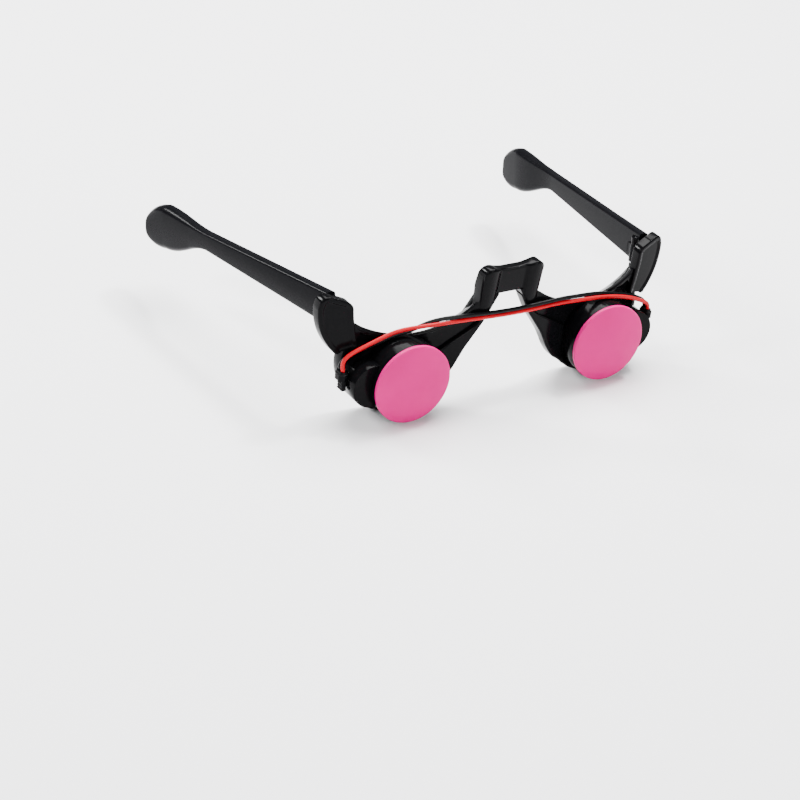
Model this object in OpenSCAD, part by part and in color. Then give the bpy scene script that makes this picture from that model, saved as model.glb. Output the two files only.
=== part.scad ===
// LED spectacles: a black half-rim frame that carries two round lamps with pink diffuser discs.
// The origin is the centre of the footprint at the lowest point of the rims.
// The wearer's left is +X, the discs face -Y and the arms run back along +Y.

/* [Discs] */
// Distance between the centres of the two discs
disc_pitch = 78; // [74:0.5:84]
// Radius of a disc
disc_r = 14; // [13.5:0.1:15]
// Thickness of a disc at its edge
disc_edge = 1.5; // [1:0.1:2.2]
// Bulge of a disc in front of its edge
disc_dome = 1.7; // [0.8:0.1:3]
// Wall of the hollow disc behind the bulge
disc_wall = 1.1; // [0.8:0.1:1.4]
// Depth of the snap skirt behind a disc
skirt_len = 1.8; // [1.2:0.1:2.4]

/* [Lamp housings] */
// Overhang of the disc over the barrel
disc_over = 0.4; // [0.3:0.05:0.6]
// Distance from the barrel's mouth to the frame's seat
barrel_len = 10.2; // [9.8:0.1:12]
// Wall of the barrel in front of the circuit board
barrel_wall = 1.7; // [1.4:0.05:2]
// Distance from the disc's centre to the centre of the side lobe
lobe_out = 12.8; // [12.4:0.1:13.4]
// Radius of the side lobe
lobe_r = 7.6; // [7.4:0.1:8]
// Wall of the side lobe
lobe_wall = 1.2; // [1:0.1:1.4]
// Step from the barrel's mouth back to the lobe's face
lobe_step = 2.3; // [1.5:0.1:3]
// Depth from the mouth back to the ledge that carries the circuit board
ledge_at = 5.9; // [5.7:0.05:6]
// Width of the ledge
ledge_w = 0.9; // [0.7:0.05:1]
// Thickness of the closed back
back_t = 1; // [0.8:0.05:1.1]

/* [Lamp inner parts] */
// Radius of the coin cell
cell_r = 10; // [9.5:0.1:10.1]
// Thickness of the coin cell
cell_t = 2.5; // [1.6:0.1:2.6]
// Thickness of the circuit board
board_t = 1; // [0.8:0.1:1.2]
// Radius of the light-emitting diode
led_r = 1.5; // [1:0.1:1.5]
// Height of the diode over the board
led_h = 3.1; // [3:0.1:3.4]
// Thickness of the contact leaf behind the cell
leaf_t = 0.3; // [0.2:0.05:0.4]
// Radius of a screw that holds a lamp
screw_r = 0.6; // [0.5:0.05:0.65]
// Number of screws on a lamp
screw_n = 4; // [3:1:4]

/* [Frame front] */
// Radius of the curve that the front follows, seen from above
curve_r = 260; // [220:5:320]
// Distance from the discs back to the middle of the front
curve_at = 6.3; // [5.8:0.1:7]
// Depth of the rims from front to back
frame_t = 4.4; // [4:0.1:5]
// Thickness of the sunk floor of a rim
floor_t = 3.1; // [2.4:0.1:3.4]
// Width of the raised lip round a rim
lip_w = 1.7; // [1.4:0.1:2.4]
// Outer radius of a rim
rim_r = 19.2; // [18.9:0.1:19.7]
// Height of a rim's centre over the disc's centre
rim_up = 4.5; // [4.1:0.1:4.8]
// Distance of a rim's centre outwards from the disc's centre
rim_out = 0.9; // [0.6:0.1:1.3]
// Radius of the hollow upper edge of the front
brow_r = 34.8; // [33:0.2:36.6]
// Lowest point of that edge over the discs' centres
brow_low = 13.7; // [13.2:0.1:14.2]
// Distance of that edge's centre inwards from the disc's centre
brow_in = 6; // [5:0.1:7]
// Backward slope of that edge in degrees
brow_slope = 30; // [20:1:35]
// Depth of the pad that a lamp is screwed to
seat_t = 2.4; // [2.2:0.1:3]
// Width of that pad round the lamp's barrel
seat_w = 1.8; // [1.4:0.1:2.4]

/* [End plates] */
// Reach of the front past the middle of an arm on each side
front_over = 5.3; // [4.6:0.1:6]
// Width of an end plate
plate_w = 10.8; // [10:0.1:11.6]
// Top of an end plate over the discs' centres
plate_top = 29.4; // [28.8:0.2:30.2]
// Thickness of an end plate
plate_t = 3; // [2.5:0.1:3.4]
// Radius of an end plate's rounded corners
plate_round = 2.3; // [1.5:0.1:3]
// Height of an end plate's face over the face of the rim
plate_proud = 0.8; // [0.5:0.1:1.2]
// Width of the raised lip round an end plate
plate_lip = 1.3; // [1:0.1:1.6]

/* [Bridge] */
// Width of the saddle
saddle_w = 23.4; // [22:0.2:28]
// Height of the top of the saddle's wings over the discs' centres
saddle_top = 34; // [33:0.1:36]
// Height of the saddle's lower edge over the discs' centres
saddle_low = 23.6; // [22.5:0.1:24.5]
// Depth of the saddle from front to back
saddle_t = 3.6; // [3.2:0.1:4.2]
// Forward lean of the saddle's top
saddle_lean = 1.5; // [0.5:0.1:2.2]
// Width of the nose gap where it meets the saddle
gap_top = 8.4; // [7:0.1:10]
// Thickness of the soft pad behind the saddle
pad_t = 2.2; // [1.5:0.1:3]

/* [Arms] */
// Length of an arm behind its hinge
arm_len = 105.6; // [102:0.2:111]
// Thickness of an arm
arm_t = 4.1; // [3.6:0.1:4.3]
// Height of an arm at its front end
arm_h = 11.5; // [11:0.1:12.2]
// Height of an arm at its neck
neck_h = 6.4; // [5.6:0.1:7.5]
// Height of the rounded paddle at the arm's end
paddle_h = 16.4; // [14:0.2:18]
// Length of that paddle
paddle_len = 38; // [34:0.5:42]
// Thickness of the paddle
paddle_t = 6.2; // [5.4:0.1:6.6]
// Outward splay of an arm in degrees
arm_splay = 8; // [6:0.5:9]
// Downward slope of an arm in degrees
arm_drop = 6.8; // [5.5:0.1:8]
// Distance from the middle plane to an arm at its front end
arm_out = 62.5; // [62.3:0.05:63]
// Height of an arm's top over the discs' centres
arm_top = 29.4; // [29.1:0.1:29.8]

/* [Hinges] */
// Distance of a hinge's axis inwards from the arm's middle
hinge_in = 1.3; // [1.25:0.05:1.4]
// Distance from the discs back to a hinge's axis
hinge_back = 19.8; // [19.7:0.05:20.2]
// Radius of a hinge knuckle
knuckle_r = 1.9; // [1.7:0.05:1.9]
// Height of the arm's knuckle
knuckle_h = 3.6; // [3:0.1:3.8]
// Height of each of the front's two knuckles
ear_h = 2.6; // [2.2:0.1:2.7]
// Height of the hinge's middle over the discs' centres
hinge_up = 22.6; // [22.4:0.1:22.8]
// Radius of the hinge screw
pin_r = 0.8; // [0.6:0.05:0.9]

/* [Switch and wires] */
// Height of the switch's thumb piece
thumb_h = 3.8; // [3.2:0.1:4]
// Travel of the switch
switch_travel = 1.6; // [1:0.1:2]
// Radius of a wire over its insulation
wire_r = 0.7; // [0.5:0.05:0.8]

/* [Hidden] */
$fn = 96;

// Clearances
fit = 0.1;
run = 0.05;
air = 0.3;
side_gap = 0.12;

// Places along Y, measured from the discs' middle plane
eye_out = disc_pitch / 2;
eye_z = rim_r - rim_up;
mouth_y = disc_edge / 2;
seat_y = mouth_y + barrel_len;
back_y = seat_y + seat_t;
ledge_y = mouth_y + ledge_at;
board_y = ledge_y - board_t;
arm_y = curve_y(arm_out + arm_t / 2) + plate_t + air;
pocket_back = hinge_back + knuckle_r + air;
tip_down = 8;
tip_side = 0.5;
arm_end_y = arm_y + (arm_len * cos(arm_drop) - tip_down * sin(arm_drop)) * cos(arm_splay) + tip_side;
front_y = -mouth_y - disc_dome;
disc_y = -(arm_end_y + front_y) / 2;

// Lamp radii
barrel_r = disc_r - disc_over;
bore_r = barrel_r - barrel_wall;
cell_bore = bore_r - ledge_w;
seat_r = barrel_r + seat_w;

// Hinge places
hinge_x = arm_out - hinge_in;
knuckle_low = hinge_up - knuckle_h / 2;
ear_low = knuckle_low - side_gap - ear_h;
ear_top = knuckle_low + knuckle_h + side_gap;

// The front's own surfaces
function curve_y(x) = curve_at + curve_r - sqrt(curve_r * curve_r - x * x);
function arc(cx, cy, r, from, to, steps) =
  [for (i = [0:steps]) let (a = from + (to - from) * i / steps) [cx + r * cos(a), cy + r * sin(a)]];

// Half an outline from the middle plane outwards and back, joined to its mirror image
function both_halves(half) = concat(half, [for (i = [len(half) - 1:-1:0]) [-half[i][0], half[i][1]]]);

// Everything is drawn round the point midway between the discs and then stood on its rims
module stand() {
  translate([0, disc_y, eye_z]) children();
}

module on_side(side) {
  if (side > 0) children();
  else mirror([1, 0, 0]) children();
}

// A front-view outline carried back along Y
module front_view(from, to) {
  translate([0, to, 0]) rotate([90, 0, 0]) linear_extrude(to - from) children();
}

module along_y(x, z, r, from, to) {
  translate([x, to, z]) rotate([90, 0, 0]) cylinder(r = r, h = to - from);
}

// Layer of the curved front between two depths behind its face
module front_layer(from, to) {
  low = -rim_r;
  high = 2 * rim_r;
  translate([0, curve_at + curve_r, low]) difference() {
    cylinder(r = curve_r - from, h = high - low, $fn = 720);
    translate([0, 0, -1]) cylinder(r = curve_r - to, h = high - low + 2, $fn = 720);
  }
}

// Outline details of the front
rim_x = eye_out + rim_out;
front_w = 2 * (arm_out + front_over);
plate_in = front_w / 2 - plate_w;
plate_curve = 22.2;
plate_fall = 2;
plate_sunk = 0.5;
brow_x = eye_out - brow_in;
brow_end_z = brow_low + brow_r - sqrt(brow_r * brow_r - (plate_in - brow_x) * (plate_in - brow_x));
nasal_turn = 219;
nasal_x = rim_x + rim_r * cos(nasal_turn);
nasal_z = rim_up + rim_r * sin(nasal_turn);
crease_x = 5.8;
crease_depth = 0.6;
wing_rise = 1.2;
wing_round = 2.8;
nasal_edge = [[9.3, 14.1], [15.5, 5.2], [19.2, -1.6], [22, -5.4]];
ridge = [[nasal_x + 2.5, nasal_z], [25, 5.6], [9.6, 14.4]];
pad_leg = 12;
pad_w = 4.4;

// Lamp details
lobe_x = eye_out + lobe_out;
skirt_back = mouth_y + skirt_len;
stud_r = 1.6;
cell_y = seat_y - back_t - leaf_t - fit - cell_t;
screw_ring = (cell_bore + barrel_r) / 2;
screw_len = 3;
wire_slot = 4;

// Switch and gland details
switch_w = 3.4;
switch_d = 3.4;
switch_h = 6.6;
stem_w = 1.5;
thumb_w = 3;
thumb_t = 1.6;
thumb_x = lobe_x + lobe_r + 0.2;
knob_y = seat_y - switch_d / 2;
knob_z = -0.5;
gland_x = lobe_x + lobe_r + 1.6;
gland_y = seat_y - 2;
gland_z = 3.8;
gland_h = 1.2;
gland_reach = 0.9;
boss_r = 1.6;
boss_h = 2;
function gland_hole(side, row) = [side * gland_x, gland_y + row * gland_reach, gland_z + gland_h];

// Arm details
paddle_full = arm_len - 11;
paddle_mid = 6.1;
paddle_sink = 0.2;

// Routes of the wires, from the wearer's right lamp to the left one
red_route = [gland_hole(-1, -1), [-61.2, 8.3, 8.2], [-58.6, 8.8, 10.2], [-53, 8.8, 12.2], [-47, 8.5, 14.3],
  [-42, 8, 16], [-36, 7.3, 16.5], [-29, 6.5, 16.6], [-21, 6, 16.6], [-12, 5.5, 16.4],
  [-4, 5.2, 16.1], [4, 5, 16], [12, 5.2, 16], [21, 5.5, 16], [30, 5.7, 15.4], [38, 5.8, 14.9],
  [46, 6.2, 13.4], [52.5, 6.9, 11.3], [57.4, 7.6, 9], [60.4, 7.9, 7.2], gland_hole(1, -1)];
black_route = [gland_hole(-1, 1), [-60.9, 10, 7], [-58, 10.3, 8.9], [-53, 10.1, 10.8], [-47, 9.3, 12.7],
  [-42, 8.7, 14.4], [-36, 8.4, 15], [-29, 8, 17.3], [-21, 6.3, 18.4], [-12, 5.5, 18.1],
  [-4, 5.2, 17.8], [4, 5, 17.7], [12, 5.2, 17.7], [21, 5.7, 17.7], [30, 6.5, 16.9], [38, 7.5, 15.6],
  [46.5, 8.2, 13.3], [52.5, 8.9, 11.4], [57, 9.5, 9.5], [60.2, 9.9, 7.4], gland_hole(1, 1)];

// Outline of one side of the front, up to where its hollow upper edge is cut
module lens_side_2d() {
  union() {
    translate([rim_x, rim_up]) circle(r = rim_r);
    polygon(concat([[gap_top / 2, saddle_low]], nasal_edge, [[nasal_x, nasal_z], [eye_out, 0],
      [plate_in + 1, rim_up], [plate_in + 0.3, brow_end_z - 4], [saddle_w / 2 - 1, saddle_low + 1]]));
  }
}

// Space over the hollow upper edge: a round cut that slopes down towards the back
module brow_cut(widen) {
  front = curve_y(brow_x);
  reach = 5 * frame_t;
  slant_r = brow_r / cos(brow_slope);
  intersection() {
    translate([brow_x, front, brow_low]) rotate([-brow_slope, 0, 0]) translate([0, reach, slant_r])
      rotate([90, 0, 0]) cylinder(r = slant_r + widen, h = 2 * reach, $fn = 180);
    translate([saddle_w / 2 - 0.3, -reach, 0]) cube([plate_in - saddle_w / 2 + 0.3, 3 * reach, 2 * brow_r]);
  }
}

// Sunk part of a rim's face, inside its raised lip: it runs up into the strut above the nasal ridge
module rim_floor_2d() {
  difference() {
    union() {
      translate([rim_x, rim_up]) circle(r = rim_r - lip_w);
      polygon([ridge[2], [saddle_w / 2, saddle_low - 6], [brow_x, brow_low + 4], [eye_out, 0],
        [nasal_x + rim_r / 2, nasal_z]]);
    }
    polygon(concat([[0, -rim_r], [nasal_x, -rim_r]], ridge, [[ridge[2][0], saddle_low], [0, saddle_low]]));
  }
}

// End plate: a broad outer curve, two round upper corners and a leaning inner edge, less an inset
module plate_2d(inset) {
  corner_x = front_w / 2 - plate_round - 0.5 - inset;
  corner_z = plate_top - plate_round - inset;
  inner_x = plate_in + plate_round + inset;
  polygon(concat(
    [[plate_in - 2.6 + inset, rim_up + 6.8], [plate_in + 3 - inset, rim_up + 4.8 - inset / 2]],
    arc(front_w / 2 - plate_curve, hinge_up + 2.2, plate_curve - inset, -46, 4, 12),
    arc(corner_x, corner_z, plate_round, 20, 105, 6),
    arc(inner_x, corner_z - plate_fall, plate_round, 116, 180, 6),
    [[plate_in - 0.4 + inset, hinge_up - 2]]));
}

// Saddle seen from the front: two raised wings with a lower, straight middle
module saddle_2d() {
  wing = saddle_w / 2;
  polygon(both_halves(concat(
    [[gap_top / 2, saddle_low], [gap_top / 2 + 2, saddle_low - 2], [wing - 0.6, saddle_low - 2.6]],
    arc(wing - wing_round, saddle_top - wing_round, wing_round, -5, 115, 8),
    [[crease_x, saddle_top - wing_rise]])));
}

// Side view of the saddle: it leans forwards above its root
module saddle_side(sunk) {
  front_low = curve_at + sunk;
  top_y = curve_at - saddle_lean;
  polygon([[front_low + 0.3, saddle_low - 3], [top_y + sunk, saddle_top + 1],
    [top_y + saddle_t, saddle_top + 1], [curve_at + frame_t, saddle_low + 3],
    [curve_at + frame_t, saddle_low - 3]]);
}

module saddle_layer(sunk, from, to) {
  intersection() {
    front_view(-rim_r, seat_y + seat_t) intersection() {
      saddle_2d();
      for (side = [-1, 1]) on_side(side) translate([from, 0]) square([to - from, 2 * rim_r]);
    }
    translate([-saddle_w, 0, 0]) rotate([90, 0, 90]) linear_extrude(2 * saddle_w) saddle_side(sunk);
  }
}

// Knuckles of the front: two fingers on the back of an end plate, bored for the hinge screw
module front_knuckles() {
  root_y = curve_y(hinge_x) + plate_t - 1;
  ear_w = 2 * knuckle_r - 4 * air;
  for (level = [ear_low, ear_top])
    translate([0, 0, level]) {
      translate([hinge_x, hinge_back, 0]) cylinder(r = knuckle_r, h = ear_h);
      translate([hinge_x - knuckle_r + 3 * air, root_y, 0]) cube([ear_w, hinge_back - root_y, ear_h]);
    }
}

// Pad behind a lamp; it stays inside the rim
module lamp_seat() {
  intersection() {
    union() {
      along_y(eye_out, 0, seat_r, seat_y, seat_y + seat_t);
      along_y(lobe_x, 0, lobe_r, seat_y, curve_y(lobe_x) + frame_t - 1);
    }
    along_y(rim_x, rim_up, rim_r - 0.2, seat_y - 1, back_y + 9);
  }
}

// Places of the screws behind a lamp
module screw_places(y) {
  for (i = [0:screw_n - 1]) {
    turn = 45 + 360 * i / screw_n;
    translate([eye_out + screw_ring * cos(turn), y, screw_ring * sin(turn)]) rotate([-90, 0, 0]) children();
  }
}

module side_front() {
  difference() {
    union() {
      difference() {
        intersection() {
          front_view(-rim_r, 2 * rim_r) lens_side_2d();
          front_layer(0, frame_t);
        }
        difference() {
          intersection() {
            front_view(-rim_r, 2 * rim_r) rim_floor_2d();
            front_layer(-1, frame_t - floor_t);
          }
          brow_cut(lip_w);
        }
      }
      lamp_seat();
    }
    brow_cut(0);
    along_y(eye_out, 0, barrel_r + fit, -1, seat_y);
    along_y(lobe_x, 0, lobe_r + fit, -1, seat_y);
    screw_places(seat_y - 1) cylinder(r = screw_r + run, h = seat_t + 9);
    screw_places(back_y) cylinder(r = 2.2 * screw_r, h = 9);
  }
  difference() {
    union() {
      difference() {
        plate_layer(0, -plate_proud, plate_t);
        plate_layer(plate_lip, -plate_proud - 1, plate_sunk - plate_proud);
      }
      front_knuckles();
    }
    translate([hinge_x, hinge_back, ear_low - 1]) cylinder(r = pin_r + run, h = 2 * ear_h + knuckle_h + 3);
  }
}

module plate_layer(inset, from, to) {
  intersection() {
    front_view(-rim_r, 2 * rim_r) plate_2d(inset);
    front_layer(from, to);
  }
}

module front_frame() {
  color([0.06, 0.06, 0.07]) stand() {
    for (side = [-1, 1]) on_side(side) side_front();
    saddle_layer(0, crease_x, saddle_w / 2);
    saddle_layer(crease_depth, 0, crease_x);
  }
}

// Soft arch behind the saddle and the upper struts, where the frame meets the nose
module nose_pad() {
  lean = (nasal_x - gap_top / 2) / (saddle_low - nasal_z);
  leg_z = saddle_low - pad_leg;
  leg_x = gap_top / 2 + lean * pad_leg;
  color([0.09, 0.09, 0.1]) stand() intersection() {
    front_view(0, 2 * rim_r)
      polygon(both_halves(concat(
        [[gap_top / 2 - 0.3, saddle_low - 0.6]],
        arc(leg_x + pad_w / 2, leg_z, pad_w / 2, 210, 380, 8),
        [[gap_top / 2 + pad_w, saddle_low + 1], [gap_top / 2 + 1, saddle_low + 2.6]])));
    front_layer(frame_t + fit / 2, frame_t + fit / 2 + pad_t);
  }
}

// Cup of a lamp with its side lobe; wires come in through the lobe
module lamp_housing(side) {
  color([0.07, 0.07, 0.08]) stand() on_side(side) difference() {
    union() {
      along_y(eye_out, 0, barrel_r, mouth_y, seat_y);
      along_y(lobe_x, 0, lobe_r, mouth_y + lobe_step, seat_y);
      wire_boss();
    }
    along_y(eye_out, 0, bore_r, mouth_y - 1, ledge_y);
    along_y(eye_out, 0, cell_bore, mouth_y - 1, seat_y - back_t);
    difference() {
      along_y(lobe_x, 0, lobe_r - lobe_wall, mouth_y + lobe_step + lobe_wall, seat_y + 1);
      along_y(eye_out, 0, barrel_r, mouth_y, seat_y + 2);
    }
    translate([lobe_x - lobe_r, ledge_y + 0.2, -wire_slot / 2]) cube([lobe_r, 2, wire_slot]);
    screw_places(seat_y - screw_len - 0.4) cylinder(r = screw_r + run, h = screw_len + 1);
    if (side < 0)
      translate([lobe_x, knob_y - stem_w / 2 - run, knob_z - stem_w / 2 - switch_travel - run])
        cube([lobe_r + 1, stem_w + 2 * run, stem_w + switch_travel + 2 * run]);
  }
}

// Small block on the lobe's outer edge that carries the rubber gland
module wire_boss() {
  translate([gland_x, gland_y, gland_z - boss_h]) {
    for (end = [-1, 1]) translate([0, end * gland_reach, 0]) cylinder(r = boss_r, h = boss_h);
    translate([-boss_r, -gland_reach, 0]) cube([2 * boss_r, 2 * gland_reach, boss_h]);
    translate([-2 * boss_r, -gland_reach, 0]) cube([2 * boss_r, 2 * gland_reach, boss_h]);
  }
}

// Hollow pink cap: a shallow dome, a rounded edge and a skirt that snaps into the barrel
module disc_cap(side) {
  edge = disc_edge / 2;
  dome = (disc_r * disc_r + disc_dome * disc_dome) / (2 * disc_dome);
  hollow_r = bore_r - fit - disc_wall;
  color([0.96, 0.3, 0.6]) stand() on_side(side) translate([eye_out, 0, 0]) rotate([90, 0, 0]) {
    difference() {
      union() {
        intersection() {
          translate([0, 0, edge + disc_dome - dome]) sphere(r = dome, $fn = 180);
          translate([0, 0, -edge]) cylinder(r = disc_r, h = disc_edge + disc_dome + 1);
        }
        translate([0, 0, -edge - skirt_len]) cylinder(r = bore_r - fit, h = skirt_len + edge);
      }
      translate([0, 0, -edge - skirt_len - 1]) cylinder(r = hollow_r, h = skirt_len + 1 + edge);
    }
  }
}

// White dish that spreads the diode's light over the disc
module reflector(side) {
  depth = board_y - fit - skirt_back;
  color([0.93, 0.93, 0.92]) stand() on_side(side)
    translate([eye_out, board_y - fit / 2, 0]) rotate([90, 0, 0]) rotate_extrude()
      polygon([[led_r + 0.7, 0], [bore_r - fit, 0], [bore_r - fit, depth], [bore_r - fit - 0.8, depth],
        [bore_r - 3.4, 0.8], [led_r + 0.7, 0.8]]);
}

// Round circuit board on the ledge
module led_board(side) {
  color([0.85, 0.88, 0.85]) stand() on_side(side) along_y(eye_out, 0, bore_r - fit, board_y, ledge_y);
}

// Dome-ended diode with its flange
module led(side) {
  color([1, 0.85, 0.92]) stand() on_side(side) translate([eye_out, board_y, 0]) rotate([90, 0, 0]) {
    cylinder(r = led_r + 0.3, h = 0.6);
    cylinder(r = led_r, h = led_h - led_r);
    translate([0, 0, led_h - led_r]) sphere(r = led_r);
  }
}

// Ring that centres the cell behind the board
module cell_tray(side) {
  color([0.2, 0.2, 0.22]) stand() on_side(side) difference() {
    along_y(eye_out, 0, cell_bore - fit, ledge_y, seat_y - back_t);
    along_y(eye_out, 0, cell_r + fit, ledge_y - 1, seat_y);
    translate([eye_out, ledge_y - 1, -wire_slot / 2]) cube([bore_r + 1, cell_t + 0.4, wire_slot]);
  }
}

module coin_cell(side) {
  rim = 0.4;
  color([0.75, 0.76, 0.78]) stand() on_side(side) {
    along_y(eye_out, 0, cell_r, cell_y + rim, cell_y + cell_t);
    along_y(eye_out, 0, cell_r - 1, cell_y, cell_y + rim);
  }
}

// Brass stud in front of the cell and the sprung leaf behind it
module cell_contacts(side) {
  leaf_y = seat_y - back_t - leaf_t;
  color([0.8, 0.65, 0.3]) stand() on_side(side) {
    along_y(eye_out, 0, stud_r, ledge_y, cell_y);
    along_y(eye_out, 0, cell_r - 3, leaf_y, leaf_y + leaf_t);
    along_y(eye_out, 0, stud_r, cell_y + cell_t, leaf_y);
  }
}

// Pan-head screws that hold both lamps from behind
module lamp_screws() {
  color([0.7, 0.7, 0.72]) stand() for (side = [-1, 1]) on_side(side)
    screw_places(back_y) {
      translate([0, 0, -seat_t - screw_len]) cylinder(r = screw_r, h = seat_t + screw_len);
      slotted_head(1.9 * screw_r, screw_r);
    }
}

// Low round head with a driver slot
module slotted_head(r, h) {
  difference() {
    cylinder(r = r, h = h);
    translate([-r - 1, -r / 5, h / 2]) cube([2 * r + 2, 2 * r / 5, h]);
  }
}

// Hinge screws, put in from below: the head is under the lower knuckle and the tip ends in the upper one
module hinge_screws() {
  color([0.72, 0.72, 0.74]) stand() for (side = [-1, 1]) on_side(side)
    translate([hinge_x, hinge_back, ear_low]) {
      cylinder(r = pin_r, h = ear_top + ear_h - ear_low);
      rotate([180, 0, 0]) slotted_head(1.8 * pin_r, pin_r);
    }
}

// Slide switch inside the wearer's right lobe
module switch_body() {
  color([0.3, 0.3, 0.32]) stand() on_side(-1)
    translate([lobe_x + 1.6, seat_y - switch_d, -switch_h / 2]) cube([switch_w, switch_d, switch_h]);
}

// Ribbed thumb piece with the stem that enters the switch
module switch_knob() {
  ribs = 4;
  pitch = thumb_h / ribs;
  color([0.1, 0.1, 0.11]) stand() on_side(-1) {
    translate([lobe_x + 1.6 + switch_w, knob_y - stem_w / 2, knob_z - stem_w / 2])
      cube([thumb_x - lobe_x - 1.6 - switch_w, stem_w, stem_w]);
    translate([thumb_x, knob_y - thumb_w / 2, knob_z + thumb_h / 2])
      rotate([-90, 0, 0]) linear_extrude(thumb_w) polygon(concat([[0, 0], [0, thumb_h]],
        [for (i = [ribs - 1:-1:0]) each [[thumb_t - 0.5, (i + 1) * pitch], [thumb_t, (i + 0.7) * pitch],
          [thumb_t, (i + 0.3) * pitch], [thumb_t - 0.5, i * pitch]]]));
  }
}

// Rubber bush on the boss, where the two wires go in
module wire_gland(side) {
  color([0.12, 0.12, 0.13]) stand() on_side(side) translate([gland_x, gland_y, gland_z]) {
    for (end = [-1, 1]) translate([0, end * gland_reach, 0]) cylinder(r = boss_r - 0.3, h = gland_h);
    translate([-boss_r + 0.3, -gland_reach, 0]) cube([2 * boss_r - 0.6, 2 * gland_reach, gland_h]);
  }
}

// Faces of a closed tube of rings with n points each
function tube_faces(n, rings) = concat(
  [[for (k = [n - 1:-1:0]) k]],
  [for (j = [0:rings - 2]) for (k = [0:n - 1]) let (a = j * n + k, b = j * n + (k + 1) % n) each
    [[a, b, b + n], [a, b + n, a + n]]],
  [[for (k = [0:n - 1]) (rings - 1) * n + k]]);

// Arm: height, thickness and edge radius along its length
function ease(from, to, u) = let (t = max(0, min(1, (u - from) / (to - from)))) t * t * (3 - 2 * t);
function mix(a, b, t) = a + (b - a) * t;
function swell(u) = ease(arm_len - paddle_len, paddle_full, u);
function tip(u) = sqrt(max(0, 1 - pow(max(0, u - paddle_full) / (arm_len - paddle_full), 2)));
function shaft(u) = mix(arm_h, neck_h, min(1, max(0, u) / (arm_len - paddle_len)));
function arm_half(u) = mix(shaft(u), paddle_h, swell(u)) / 2 * tip(u);
function arm_mid(u) = mix(-shaft(u) / 2, -paddle_mid - paddle_sink * max(0, u - paddle_full), swell(u));
function arm_thick(u) = mix(arm_t, paddle_t, swell(u)) * (0.3 + 0.7 * tip(u));
function arm_edge(u) = min(mix(0.9, 2.6, swell(u)), 0.95 * arm_thick(u) / 2, 0.95 * arm_half(u));

// Closed section of the arm: a rectangle with round corners, outer face in one plane
function arm_ring(u) =
  let (h = arm_half(u), m = arm_mid(u), t = arm_thick(u), e = arm_edge(u), outer = arm_t / 2)
  [for (c = [0:3]) each
    [for (k = [0:3]) let (
      a = 90 * c + 30 * k,
      x = ((c == 0 || c == 3) ? outer - e : outer - t + e) + e * cos(a),
      z = ((c < 2) ? m + h - e : m - h + e) + e * sin(a))
      [x, u > 0 ? u : x * tan(arm_splay) - z * tan(arm_drop), z]]];

module arm_shape() {
  stations = concat([0, 4], [for (u = [10:10:60]) u], [for (u = [arm_len - paddle_len:3:paddle_full - 1]) u],
    [for (i = [0:8]) paddle_full + (arm_len - paddle_full) * sin(87 * i / 8)]);
  rings = [for (u = stations) arm_ring(u)];
  n = len(rings[0]);
  polyhedron(
    points = [for (ring = rings) each ring],
    faces = tube_faces(n, len(rings)),
    convexity = 4);
}

// Arm with a pocket in its front end: the wall and the top of the pocket cover the hinge
module arm(side) {
  pocket_x = arm_out - arm_t / 2 - 1;
  color([0.06, 0.06, 0.07]) stand() on_side(side) difference() {
    union() {
      difference() {
        translate([arm_out, arm_y, arm_top]) rotate([0, 0, -arm_splay]) rotate([-arm_drop, 0, 0]) arm_shape();
        translate([pocket_x, arm_y - 1, arm_top - 2 * arm_h])
          cube([hinge_x + knuckle_r + side_gap - pocket_x, pocket_back - arm_y + 1,
            ear_top + ear_h + side_gap - arm_top + 2 * arm_h]);
      }
      translate([hinge_x, hinge_back, knuckle_low]) {
        cylinder(r = knuckle_r, h = knuckle_h);
        translate([air - knuckle_r, 0, 0])
          cube([2 * (knuckle_r - air), pocket_back - hinge_back + 1, knuckle_h]);
      }
    }
    translate([hinge_x, hinge_back, knuckle_low - 1]) cylinder(r = pin_r + run, h = knuckle_h + 2);
  }
}

// A wire swept along its route
function smooth(p, i, t) = let (
    n = len(p) - 1,
    a = i > 0 ? p[i - 1] : 2 * p[0] - p[1],
    b = p[i],
    c = p[i + 1],
    d = i + 2 <= n ? p[i + 2] : 2 * p[n] - p[n - 1])
  0.5 * (2 * b + (c - a) * t + (2 * a - 5 * b + 4 * c - d) * t * t + (3 * b - a - 3 * c + d) * t * t * t);
function unit(v) = v / norm(v);

module wire(route) {
  sides = 8;
  spans = [for (i = [0:len(route) - 2]) each [smooth(route, i, 0), smooth(route, i, 0.5)]];
  path = concat(spans, [route[len(route) - 1]]);
  last = len(path) - 1;
  rings = [for (i = [0:last]) let (
      along = unit(i == 0 || i == last ? [0, 0, i == 0 ? 1 : -1] : path[i + 1] - path[i - 1]),
      up = unit(cross(along, [0, 1, 0])),
      out = cross(up, along))
    [for (k = [0:sides - 1]) path[i] + wire_r * (cos(360 * k / sides) * out + sin(360 * k / sides) * up)]];
  polyhedron(
    points = [for (ring = rings) each ring],
    faces = tube_faces(sides, len(rings)),
    convexity = 6);
}

module red_wire() {
  color([0.85, 0.08, 0.08]) stand() wire(red_route);
}

module black_wire() {
  color([0.08, 0.08, 0.08]) stand() wire(black_route);
}

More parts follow.
